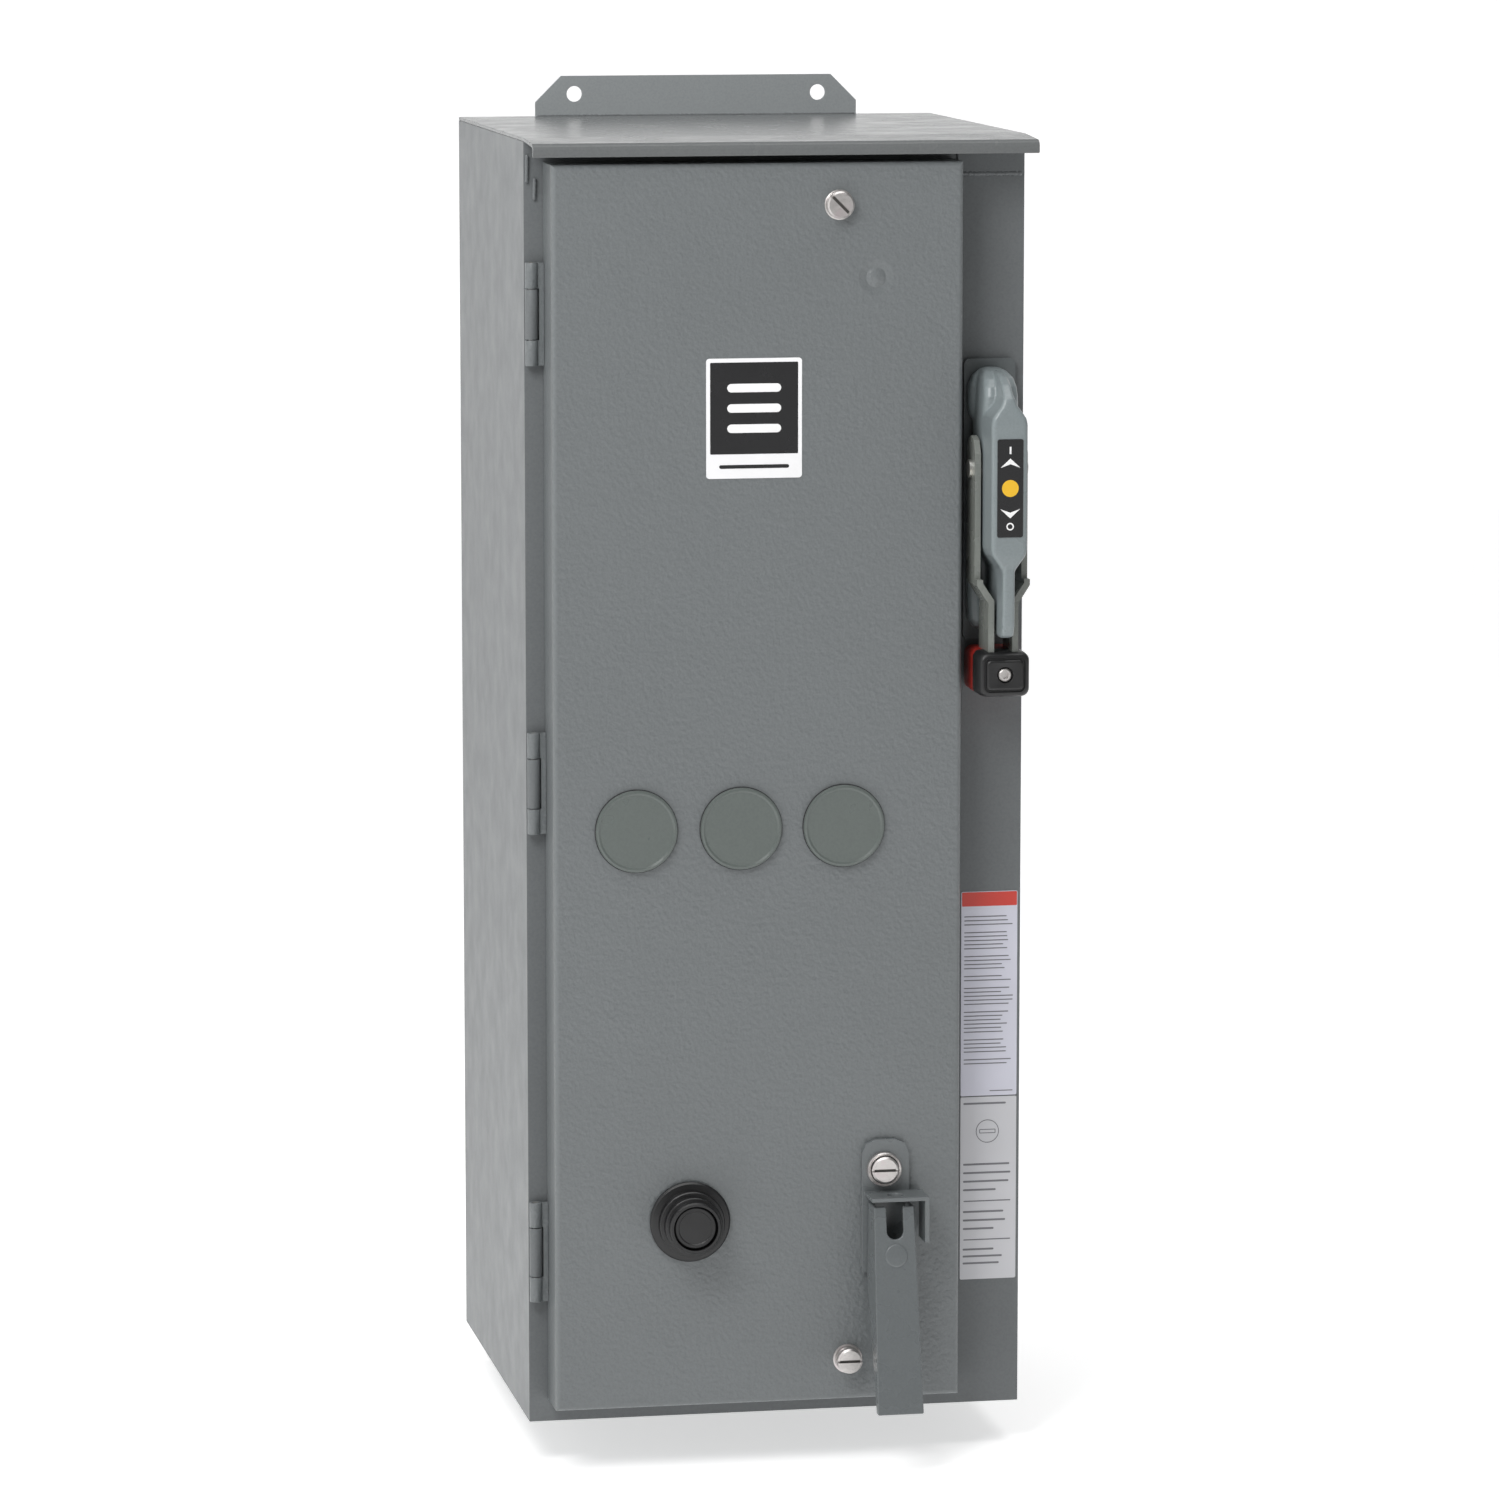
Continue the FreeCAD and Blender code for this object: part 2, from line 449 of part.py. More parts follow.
side_arm(-1, "lever_arm_left")
side_arm(1, "lever_arm_right")
gx, gw = A.grip_x, A.grip_w / 2


def corner(e):
    a, b = e.Vertexes[0].Point, e.Vertexes[1].Point
    return abs(a.x - b.x) < 1e-6 and abs(a.z - b.z) < 1e-6


slots = [box(hx - A.arm_in - A.arm_thick + 5.8, PY - 15.5, 56, hx - A.arm_in + 5.8, PY + 6.5, 70),
         box(hx + A.arm_in - 5.8, PY - 15.5, 56, hx + A.arm_in + A.arm_thick - 5.8, PY + 6.5, 70)]
gb = fillet(box(gx - gw, PY - 20.5, 45.5, gx + gw, PY - 2.6, 68), 4.0, corner)
gr = fillet(box(gx - gw, PY - 2.6, 45.5, gx + gw, PY + 20.5, 68), 4.0, corner)
slots2 = [box(hx - A.arm_in - A.arm_thick + 5.8, PY - 15.5, 56, hx - A.arm_in + 5.8, PY + 6.5, 70),
          box(hx + A.arm_in - 5.8, PY - 15.5, 56, hx + A.arm_in + A.arm_thick - 5.8, PY + 6.5, 70)]
recess = box(gx - 5.6, PY - 21.5, 51.2, gx + 5.6, PY - 19, 62.3)
node("grip_black", cut(gb, slots[0], slots[1], recess, cyl("y", gx, PY - 22, 56.75, 2.0, 23)))
node("grip_red", cut(gr, slots2[0], slots2[1], cyl("y", gx, PY - 4, 56.75, 2.0, 12)))
gs = turned(gx, PY - 19, 56.75, [(0, -24), (2.0, -24), (2.0, 0), (3.1, 0), (3.1, 1.0), (2.2, 1.7), (0, 1.7)])
pocket(gs, "XY_Plane", [(-0.5, -1.8), (0.5, -1.8), (0.5, 1.8), (-0.5, 1.8)], 1.0, offset=1.7)
node("grip_screw", gs)
node("pivot_shaft", cyl("x", hx - A.arm_in - A.arm_thick - 1.4, PY, PZ, 4.5, (A.arm_in + A.arm_thick + 1.4) * 2))
crank = cut(fuse(cyl("x", 104, PY, PZ, 8, 7), box(104, PY - 4.5, PZ, 111, PY + 4.5, PZ + 12.2)), cyl("x", 103, PY, PZ, 4.5, 10))
node("drive_crank", crank)

# slide that carries the handle's motion to the breaker
bar = box(102.6, FY + T + 1.6, 108, 112.4, FY + T + 6, 172)
tongue = box(104.5, FY - 7.4, 130, 110.5, FY + T + 3, 137)
reach = box(103, FY + T + 4, 116, 106, -148, 138)
cross = box(-20, -152, 116, 106, -148, 138)
fing_lo = box(-14, -148.5, 112, 0, -134, 117.5)
fing_hi = box(-14, -148.5, 136.5, 0, -134, 142)
mouth2 = box(-14, -148.5, 112, 0, -147.6, 142)
node("slide_bar", fuse(bar, tongue, reach, cross, fing_lo, fing_hi, mouth2))
node("slide_guides", group(box(96.5, FY + T, 112, 102.1, FY + T + 9, 196), box(112.9, FY + T, 112, 118.5, FY + T + 9, 196)))

# ---------------------------------------------------------------- equipment inside
PB = A.panel_y
studs, panel_holes = [], []
for sx in (-95, 95):
    for sz in (-270, 270):
        studs.append(turned(sx, PB + A.panel_thick, sz, [(0, -20.1), (5, -20.1), (5, 0), (3, 0), (3, 2.5), (6, 2.5), (6, 7), (3, 7), (3, 10), (0, 10)]))
        panel_holes.append(cyl("y", sx, PB - 1, sz, 3.2, 6))
node("mounting_panel", cut(box(-A.panel_half_w, PB, -A.panel_half_h, A.panel_half_w, PB + A.panel_thick, A.panel_half_h), *panel_holes))
node("panel_studs", group(*studs))

bf = A.brk_front
bb = box(A.brk_left, bf, A.brk_low, A.brk_right, PB, A.brk_high)
step_hi = box(A.brk_left - 1, bf - 1, A.brk_high - 32, A.brk_right + 1, bf + 22, A.brk_high + 1)
step_lo = box(A.brk_left - 1, bf - 1, A.brk_low - 1, A.brk_right + 1, bf + 22, A.brk_low + 32)
tslot = box(A.tog_x - 9, bf - 1, A.tog_z - 25, A.tog_x + 9, bf + 30, A.tog_z + 25)
fins = []
for k in (-1, 1):
    fins.append(box(A.tog_x + 15 * k - 1, bf + 22 - 6, A.brk_high - 34, A.tog_x + 15 * k + 1, bf + 24, A.brk_high))
    fins.append(box(A.tog_x + 15 * k - 1, bf + 22 - 6, A.brk_low, A.tog_x + 15 * k + 1, bf + 24, A.brk_low + 34))
node("breaker_body", fuse(cut(bb, step_hi, step_lo, tslot), *fins))
ta = FreeCAD.Rotation(V3(1, 0, 0), 90 + 20)
tog = pad_body("XY_Plane", [(-6, -3.5), (6, -3.5), (6, 3.5), (-6, 3.5)], A.tog_len, at=(A.tog_x, A.tog_y, A.tog_z, ta))
hub = cyl("x", A.tog_x - 6, A.tog_y, A.tog_z, 6.5, 12)
node("breaker_toggle", fuse(tog, hub))
lugs = []
for k in (-1, 0, 1):
    for z0, z1 in ((A.brk_high, A.brk_high + 9), (A.brk_low - 9, A.brk_low)):
        lx = A.tog_x + 30 * k
        zc = (z0 + z1) / 2
        lugs.append(cut(box(lx - 7, -80, z0, lx + 7, -64, z1), cyl("z", lx, -72, z0 - 1, 4.5, 11)))
node("breaker_lugs", group(*lugs))

cb0 = box(-84, -118, -178, -14, PB, -84)
cb1 = box(-76, -150, -164, -22, -118, -98)
cb2 = [box(-84 + 22 * k + 9, -119, -179, -84 + 22 * k + 17, -100, -168) for k in range(3)]
cb3 = [box(-84 + 22 * k + 9, -119, -94, -84 + 22 * k + 17, -100, -83) for k in range(3)]
node("contactor", cut(fuse(cb0, cb1), *(cb2 + cb3)))
relay = cut(fuse(box(-84, -112, -252, -14, PB, -182), box(-72, -150, -244, -26, -112, -190)), cyl("y", RX, -151, RZ, 4.5, 31))
node("overload_relay", relay)
node("relay_reset_pin", turned(RX, -142, RZ, [(0, -10), (4, -10), (4, 19.5), (3.2, 20.4), (0, 20.4)]))

# ---------------------------------------------------------------- labels
node("door_plate", box(-40.1, DF - A.label_thick - 0.1, 155.8, 7.8, DF, 215))
node("strip_labels", group(box(95.5, FY - A.label_thick, -163.6, 124.5, FY, -58.7), box(95.5, FY - A.label_thick, -258.5, 124.5, FY, -164.2)))

doc.recompute()
bad = [(o.Name, o.State) for o in doc.Objects if "Invalid" in o.State or "Error" in o.State]
for name, obj in NODES:
    s = obj.Shape
    if s.isNull() or not s.isValid() or len(s.Solids) == 0 or s.Volume <= 0:
        bad.append((name, "shape", s.isNull(), 0 if s.isNull() else s.isValid()))
if len(set(n for n, o in NODES)) != len(NODES) or len(NODES) > 60:
    bad.append(("count", len(NODES)))
if bad:
    raise SystemExit("failed: %s" % bad)
os.makedirs("parts", exist_ok=True)
for name, obj in NODES:
    obj.Shape.exportStep("parts/%s.step" % name)
    bb = obj.Shape.BoundBox
    print("%-26s solids %d vol %.0f  x %.1f..%.1f y %.1f..%.1f z %.1f..%.1f" % (name, len(obj.Shape.Solids), obj.Shape.Volume, bb.XMin, bb.XMax, bb.YMin, bb.YMax, bb.ZMin, bb.ZMax))
print("nodes", len(NODES))
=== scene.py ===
import bpy, bmesh, math, random
from mathutils import Vector, Matrix


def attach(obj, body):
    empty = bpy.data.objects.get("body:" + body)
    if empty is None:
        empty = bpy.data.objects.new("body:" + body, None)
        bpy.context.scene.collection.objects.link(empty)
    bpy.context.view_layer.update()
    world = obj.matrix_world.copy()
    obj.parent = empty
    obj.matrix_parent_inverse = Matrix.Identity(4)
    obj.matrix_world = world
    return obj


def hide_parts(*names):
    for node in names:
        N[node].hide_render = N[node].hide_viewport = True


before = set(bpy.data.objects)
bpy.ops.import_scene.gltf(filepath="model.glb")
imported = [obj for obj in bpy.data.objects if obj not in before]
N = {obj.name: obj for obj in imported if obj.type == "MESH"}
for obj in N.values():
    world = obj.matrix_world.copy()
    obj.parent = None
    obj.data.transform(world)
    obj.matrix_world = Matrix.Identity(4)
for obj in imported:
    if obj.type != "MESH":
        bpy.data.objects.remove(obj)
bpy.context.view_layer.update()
random.seed(7)
MM = 0.001

# ------------------------------------------------------------------ camera and studio
cam_data = bpy.data.cameras.new("cam")
cam = bpy.data.objects.new("cam", cam_data)
bpy.context.scene.collection.objects.link(cam)
cam.location = (-0.606621, -3.402836, 0.481561)
cam.rotation_euler = (math.radians(90 - 8.186), 0.0, -math.radians(10.582))
cam_data.sensor_width = 36.0
cam_data.lens = 156.87
cam_data.clip_end = 60
bpy.context.scene.camera = cam

sc = bpy.context.scene
sc.view_settings.view_transform = "Standard"
sc.view_settings.look = "None"

world = bpy.data.worlds.new("studio")
sc.world = world
world.use_nodes = True
bg = world.node_tree.nodes["Background"]
bg.inputs[0].default_value = (1.0, 1.0, 1.0, 1.0)
bg.inputs[1].default_value = 0.20


def area(name, loc, target, size, power, sy=None):
    d = bpy.data.lights.new(name, "AREA")
    d.shape = "RECTANGLE"
    d.size = size
    d.size_y = sy or size
    d.energy = power
    o = bpy.data.objects.new(name, d)
    o.location = loc
    o.rotation_euler = (Vector(target) - Vector(loc)).to_track_quat("-Z", "Y").to_euler()
    sc.collection.objects.link(o)
    return o


area("key_left", (-3.2, -0.6, 0.7), (0, -0.1, 0.05), 2.4, 22, 2.8)
area("top_soft", (0.1, -0.5, 2.7), (0, -0.12, 0.2), 2.4, 40, 1.8)
area("front_fill", (-0.72, -1.1, 1.05), (0, -0.2, 0.15), 0.7, 14.0, 0.7)

# ------------------------------------------------------------------ node helpers


def new_mat(name):
    m = bpy.data.materials.new(name)
    m.use_nodes = True
    nt = m.node_tree
    for n in list(nt.nodes):
        nt.nodes.remove(n)
    out = nt.nodes.new("ShaderNodeOutputMaterial")
    b = nt.nodes.new("ShaderNodeBsdfPrincipled")
    nt.links.new(b.outputs[0], out.inputs[0])
    return m, nt, b


def noise(nt, co, scale, detail=2.0, rough=0.5):
    n = nt.nodes.new("ShaderNodeTexNoise")
    n.inputs["Scale"].default_value = scale
    n.inputs["Detail"].default_value = detail
    n.inputs["Roughness"].default_value = rough
    nt.links.new(co, n.inputs["Vector"])
    return n.outputs["Fac"]


def ramp(nt, fac, stops):
    r = nt.nodes.new("ShaderNodeValToRGB")
    e = r.color_ramp.elements
    while len(e) < len(stops):
        e.new(0.5)
    for i, (p, c) in enumerate(stops):
        e[i].position = p
        e[i].color = c if len(c) == 4 else (*c, 1)
    nt.links.new(fac, r.inputs[0])
    return r.outputs[0]


def mrange(nt, fac, a, b, lo, hi):
    n = nt.nodes.new("ShaderNodeMapRange")
    n.inputs[1].default_value = a
    n.inputs[2].default_value = b
    n.inputs[3].default_value = lo
    n.inputs[4].default_value = hi
    nt.links.new(fac, n.inputs[0])
    return n.outputs[0]


def bump(nt, height, strength, dist, normal=None):
    n = nt.nodes.new("ShaderNodeBump")
    n.inputs["Strength"].default_value = strength
    n.inputs["Distance"].default_value = dist
    nt.links.new(height, n.inputs["Height"])
    if normal is not None:
        nt.links.new(normal, n.inputs["Normal"])
    return n.outputs[0]


def mixrgb(nt, fac, a, b, mode="MIX"):
    n = nt.nodes.new("ShaderNodeMix")
    n.data_type = "RGBA"
    n.blend_type = mode
    if isinstance(fac, float):
        n.inputs[0].default_value = fac
    else:
        nt.links.new(fac, n.inputs[0])
    for i, v in ((6, a), (7, b)):
        if isinstance(v, tuple):
            n.inputs[i].default_value = v if len(v) == 4 else (*v, 1)
        else:
            nt.links.new(v, n.inputs[i])
    return n.outputs[2]


def objco(nt):
    return nt.nodes.new("ShaderNodeTexCoord").outputs["Object"]


def sh(c, k):
    return tuple(min(1.0, v * k) for v in c)


def paint(name, col, rough=0.3, peel=0.16, spec=0.5, metallic=0.0, wavy=0.10, dist=0.0007):
    """Powder coat: orange peel a couple of millimetres across, slow waviness, faint mottling and dust."""
    m, nt, b = new_mat(name)
    co = objco(nt)
    tone = noise(nt, co, 9.0, 4.0, 0.6)
    fine = noise(nt, co, 900.0, 2.0)
    base = ramp(nt, tone, [(0.3, sh(col, 0.965)), (0.7, sh(col, 1.035))])
    speck = ramp(nt, fine, [(0.34, sh(col, 0.86)), (0.5, col), (0.68, sh(col, 1.10))])
    nt.links.new(mixrgb(nt, 0.35, base, speck), b.inputs["Base Color"])
    peelh = noise(nt, co, 430.0, 2.0, 0.45)
    wave = noise(nt, co, 38.0, 2.0, 0.4)
    n1 = bump(nt, wave, wavy, 0.0016)
    n2 = bump(nt, peelh, peel, dist, n1)
    nt.links.new(n2, b.inputs["Normal"])
    rr = noise(nt, co, 55.0, 3.0)
    nt.links.new(mrange(nt, rr, 0.3, 0.7, rough - 0.035, rough + 0.045), b.inputs["Roughness"])
    b.inputs["Specular IOR Level"].default_value = spec
    b.inputs["Metallic"].default_value = metallic
    return m


def zinc(name, col=(0.66, 0.66, 0.64), rough=0.26, tint=(0.62, 0.56, 0.62), turned=None):
    """Bright zinc plate: cloudy patches, faint iridescent cast, fine tool marks."""
    m, nt, b = new_mat(name)
    co = objco(nt)
    cloud = noise(nt, co, 140.0, 4.0, 0.6)
    base = ramp(nt, cloud, [(0.3, sh(col, 0.84)), (0.52, col), (0.72, tint)])
    nt.links.new(base, b.inputs["Base Color"])
    b.inputs["Metallic"].default_value = 0.9
    mp = nt.nodes.new("ShaderNodeMapping")
    mp.inputs["Scale"].default_value = (1.0, 1.0, 14.0)
    nt.links.new(co, mp.inputs["Vector"])
    scr = noise(nt, mp.outputs[0], 420.0, 3.0, 0.6)
    nt.links.new(bump(nt, scr, 0.16, 0.0003), b.inputs["Normal"])
    nt.links.new(mrange(nt, scr, 0.3, 0.7, rough - 0.06, rough + 0.10), b.inputs["Roughness"])
    return m


def plastic(name, col, rough=0.42, grain=0.25, scale=1500.0):
    m, nt, b = new_mat(name)
    co = objco(nt)
    tone = noise(nt, co, 60.0, 3.0)
    nt.links.new(ramp(nt, tone, [(0.3, sh(col, 0.82)), (0.7, sh(col, 1.22))]), b.inputs["Base Color"])
    g = noise(nt, co, scale, 2.0, 0.55)
    nt.links.new(bump(nt, g, grain, 0.00018), b.inputs["Normal"])
    nt.links.new(mrange(nt, noise(nt, co, 90.0, 3.0), 0.3, 0.7, rough - 0.06, rough + 0.07), b.inputs["Roughness"])
    return m


def rubber(name, col):
    m, nt, b = new_mat(name)
    co = objco(nt)
    v = nt.nodes.new("ShaderNodeTexVoronoi")
    v.inputs["Scale"].default_value = 900.0
    nt.links.new(co, v.inputs["Vector"])
    nt.links.new(ramp(nt, v.outputs["Distance"], [(0.0, sh(col, 0.6)), (0.6, sh(col, 1.4))]), b.inputs["Base Color"])
    nt.links.new(bump(nt, v.outputs["Distance"], 0.4, 0.0003), b.inputs["Normal"])
    nt.links.new(mrange(nt, noise(nt, co, 200.0), 0.3, 0.7, 0.75, 0.92), b.inputs["Roughness"])
    return m


def film(name, col, rough=0.32):
    m, nt, b = new_mat(name)
    co = objco(nt)
    t = noise(nt, co, 30.0, 3.0)
    nt.links.new(ramp(nt, t, [(0.3, sh(col, 0.96)), (0.7, sh(col, 1.02))]), b.inputs["Base Color"])
    nt.links.new(bump(nt, noise(nt, co, 70.0, 2.0), 0.05, 0.0008), b.inputs["Normal"])
    nt.links.new(mrange(nt, noise(nt, co, 120.0), 0.3, 0.7, rough - 0.04, rough + 0.05), b.inputs["Roughness"])
    return m


DOOR = (0.146, 0.158, 0.162)
M = {
    "case_paint": paint("case_paint", (0.140, 0.149, 0.153), 0.38, 0.02, spec=0.25, wavy=0.006),
    "cover_paint": paint("cover_paint", (0.132, 0.138, 0.139), 0.24, 0.01, spec=0.22, wavy=0.003),
    "door_paint": paint("door_paint", DOOR, 0.34, 0.45, dist=0.0010),
    "flange_paint": paint("flange_paint", (0.300, 0.318, 0.324), 0.32, 0.08, wavy=0.03),
    "plate_paint": paint("plate_paint", (0.108, 0.125, 0.117), 0.30, 0.05),
    "latch_paint": paint("latch_paint", (0.130, 0.142, 0.146), 0.28, 0.06),
    "handle_casting": paint("handle_casting", (0.205, 0.235, 0.242), 0.30, 0.05),
    "base_paint": paint("base_paint", (0.10, 0.112, 0.115), 0.34, 0.06),
    "arm_steel": paint("arm_steel", (0.185, 0.196, 0.180), 0.26, 0.08, 0.6),
    "zinc": zinc("zinc_steel", (0.60, 0.60, 0.57), 0.34, (0.62, 0.58, 0.48)),
    "bright": zinc("bright_screw", (0.60, 0.575, 0.56), 0.32, (0.58, 0.51, 0.52)),
    # painted shade: near-black zinc for the slot blades that stand in for the shadow inside the screw slots
    "slot_painted_shade": zinc("slot_painted_shade", (0.12, 0.115, 0.11), 0.6, (0.10, 0.09, 0.085)),
    "black": plastic("black_plastic", (0.0075, 0.0075, 0.008), 0.36, 0.12),
    "black_grip": plastic("black_grip", (0.010, 0.010, 0.0105), 0.40, 0.35, 900.0),
    "red": plastic("red_plastic", (0.33, 0.020, 0.014), 0.40, 0.2),
    "rubber": rubber("rubber_seal", (0.03, 0.03, 0.031)),
    "panel": paint("panel_white", (0.72, 0.72, 0.70), 0.32, 0.1),
    "breaker": plastic("breaker_plastic", (0.030, 0.031, 0.034), 0.44, 0.3),
    "contactor": plastic("contactor_plastic", (0.055, 0.056, 0.060), 0.46, 0.3),
    "toggle": plastic("toggle_plastic", (0.45, 0.45, 0.43), 0.40, 0.1),
    "pin_red": plastic("pin_red", (0.40, 0.05, 0.03), 0.4, 0.1),
    "lug": zinc("lug_metal", (0.72, 0.72, 0.72), 0.3, (0.68, 0.68, 0.66)),
    "white_film": film("white_film", (0.86, 0.86, 0.87)),
    "label_grey": film("label_grey", (0.56, 0.56, 0.585)),
    "label_lilac": film("label_lilac", (0.60, 0.60, 0.68)),
    "band_red": film("band_red", (0.56, 0.045, 0.030)),
    "ink_grey": film("ink_grey", (0.17, 0.17, 0.185), 0.5),
    "ink_black": film("ink_black", (0.012, 0.012, 0.013), 0.24),
    "ink_white": film("ink_white", (0.86, 0.86, 0.86), 0.4),
    "ink_amber": film("ink_amber", (0.80, 0.47, 0.02), 0.4),
}

node_mat = {}
for k, names in {
    "flange_paint": ["mounting_flange_top", "mounting_flange_bottom"],
    "case_paint": ["case_shell", "strip_baffle", "hinge_frame_leaf_upper",
                   "hinge_frame_leaf_middle", "hinge_frame_leaf_lower"],
    "cover_paint": ["top_cover"],
    "door_paint": ["door_panel", "hinge_door_leaf_upper", "hinge_door_leaf_middle", "hinge_door_leaf_lower"],
    "plate_paint": ["closing_plate_left", "closing_plate_middle", "closing_plate_right"],
    "latch_paint": ["latch_plate", "latch_lever"],
    "handle_casting": ["handle_housing"],
    "base_paint": ["handle_base"],
    "arm_steel": ["lever_arm_left", "lever_arm_right"],
    "zinc": ["hinge_pins", "closing_plate_clamps", "closing_plate_nuts", "latch_shaft", "latch_cam", "latch_nut", "latch_strike",
             "door_screw_receivers", "pivot_shaft", "drive_crank", "slide_bar", "slide_guides", "panel_studs", "reset_spring", "reset_locknut"],
    "bright": ["interlock_screw", "latch_cup", "door_screw_upper", "door_screw_lower", "door_screw_washers", "grip_screw"],
    "black": ["reset_bezel", "reset_button", "reset_rod"],
    "black_grip": ["grip_black"],
    "red": ["grip_red"],
    "rubber": ["door_gasket", "closing_plate_gaskets", "reset_gasket"],
    "panel": ["mounting_panel"],
    "breaker": ["breaker_body", "overload_relay"],
    "contactor": ["contactor"],
    "toggle": ["breaker_toggle"],
    "pin_red": ["relay_reset_pin"],
    "lug": ["breaker_lugs"],
    "label_grey": ["strip_labels"],
    "white_film": ["door_plate"],
    "ink_black": ["handle_label"],
}.items():
    for n in names:
        node_mat[n] = k
for n, o in N.items():
    m = M[node_mat[n]]
    for s in o.material_slots:
        s.material = m
    if not o.material_slots:
        o.data.materials.append(m)

# ------------------------------------------------------------------ edge rounding on pressed and cast CAD pieces


def soften(name, width, seg=2, angle=28):
    o = N[name]
    w = o.modifiers.new("weld", "WELD")
    w.merge_threshold = 0.00002
    d = o.modifiers.new("flat", "DECIMATE")
    d.decimate_type = "DISSOLVE"
    d.angle_limit = math.radians(0.6)
    b = o.modifiers.new("bevel", "BEVEL")
    b.width = width * MM
    b.segments = seg
    b.limit_method = "ANGLE"
    b.angle_limit = math.radians(angle)
    b.use_clamp_overlap = True
    b.harden_normals = True
    b.miter_outer = "MITER_ARC"


for n, w in {"case_shell": 0.8, "top_cover": 0.5, "strip_baffle": 0.4,
             "latch_plate": 0.7, "latch_lever": 1.2, "lever_arm_left": 0.8, "lever_arm_right": 0.8, 
             "hinge_door_leaf_upper": 0.3, "hinge_door_leaf_middle": 0.3, "hinge_door_leaf_lower": 0.3,
             "hinge_frame_leaf_upper": 0.3, "hinge_frame_leaf_middle": 0.3, "hinge_frame_leaf_lower": 0.3,
             "breaker_body": 0.8, "contactor": 0.8, "overload_relay": 0.8, "slide_bar": 0.4, "breaker_toggle": 0.6,
             "mounting_panel": 0.3, "latch_strike": 0.4, "slide_guides": 0.4}.items():
    soften(n, w)

# ------------------------------------------------------------------ mesh helpers


def finish_obj(name, bm, mat, body, sharp=38, replaces=()):
    bmesh.ops.recalc_face_normals(bm, faces=bm.faces[:])
    for f in bm.faces:
        f.smooth = True
    lim = math.radians(sharp)
    for e in bm.edges:
        if len(e.link_faces) == 2 and e.calc_face_angle(0.0) > lim:
            e.smooth = False
    me = bpy.data.meshes.new(name)
    bm.to_mesh(me)
    bm.free()
    o = bpy.data.objects.new(name, me)
    sc.collection.objects.link(o)
    me.materials.append(M[mat])
    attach(o, body)
    if replaces:
        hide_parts(*replaces)
    return o


def rrect(hw, hh, r, n=6):
    """Rounded rectangle points, counter-clockwise."""
    r = max(min(r, hw, hh), 1e-6)
    pts = []
    for cx, cy, a0 in ((hw - r, hh - r, 0), (-hw + r, hh - r, 90), (-hw + r, -hh + r, 180), (hw - r, -hh + r, 270)):
        for i in range(n + 1):
            a = math.radians(a0 + 90.0 * i / n)
            pts.append((cx + r * math.cos(a), cy + r * math.sin(a)))
    return pts


def loft(bm, rings, cap=True):
    """rings: lists of 3-D points, all the same length, in mm."""
    vs = [[bm.verts.new((p[0] * MM, p[1] * MM, p[2] * MM)) for p in r] for r in rings]
    n = len(vs[0])
    for a, b in zip(vs, vs[1:]):
        for i in range(n):
            bm.faces.new((a[i], a[(i + 1) % n], b[(i + 1) % n], b[i]))
    if cap:
        bm.faces.new(vs[0])
        bm.faces.new(list(reversed(vs[-1])))
    return vs


def add_box(bm, x0, y0, z0, x1, y1, z1):
    loft(bm, [[(x0, y0, z0), (x1, y0, z0), (x1, y1, z0), (x0, y1, z0)], [(x0, y0, z1), (x1, y0, z1), (x1, y1, z1), (x0, y1, z1)]])


def slab(bm, cx, cz, hw, hh, r, y0, y1, n=6):
    """Rounded plate facing -Y between y0 (back) and y1 (front)."""
    p = rrect(hw, hh, r, n)
    loft(bm, [[(cx + a, y0, cz + b) for a, b in p], [(cx + a, y1, cz + b) for a, b in p]])


def prism(bm, pts, y0, y1):
    loft(bm, [[(a, y0, b) for a, b in pts], [(a, y1, b) for a, b in pts]])


def bake_mods(o):
    """Replace the mesh by its evaluated form."""
    dg = bpy.context.evaluated_depsgraph_get()
    dg.update()
    me = bpy.data.meshes.new_from_object(o.evaluated_get(dg))
    o.modifiers.clear()
    old = o.data
    o.data = me
    for p in me.polygons:
        p.use_smooth = True
    return o


# ------------------------------------------------------------------ disconnect handle housing: one casting
HX0 = 107.8


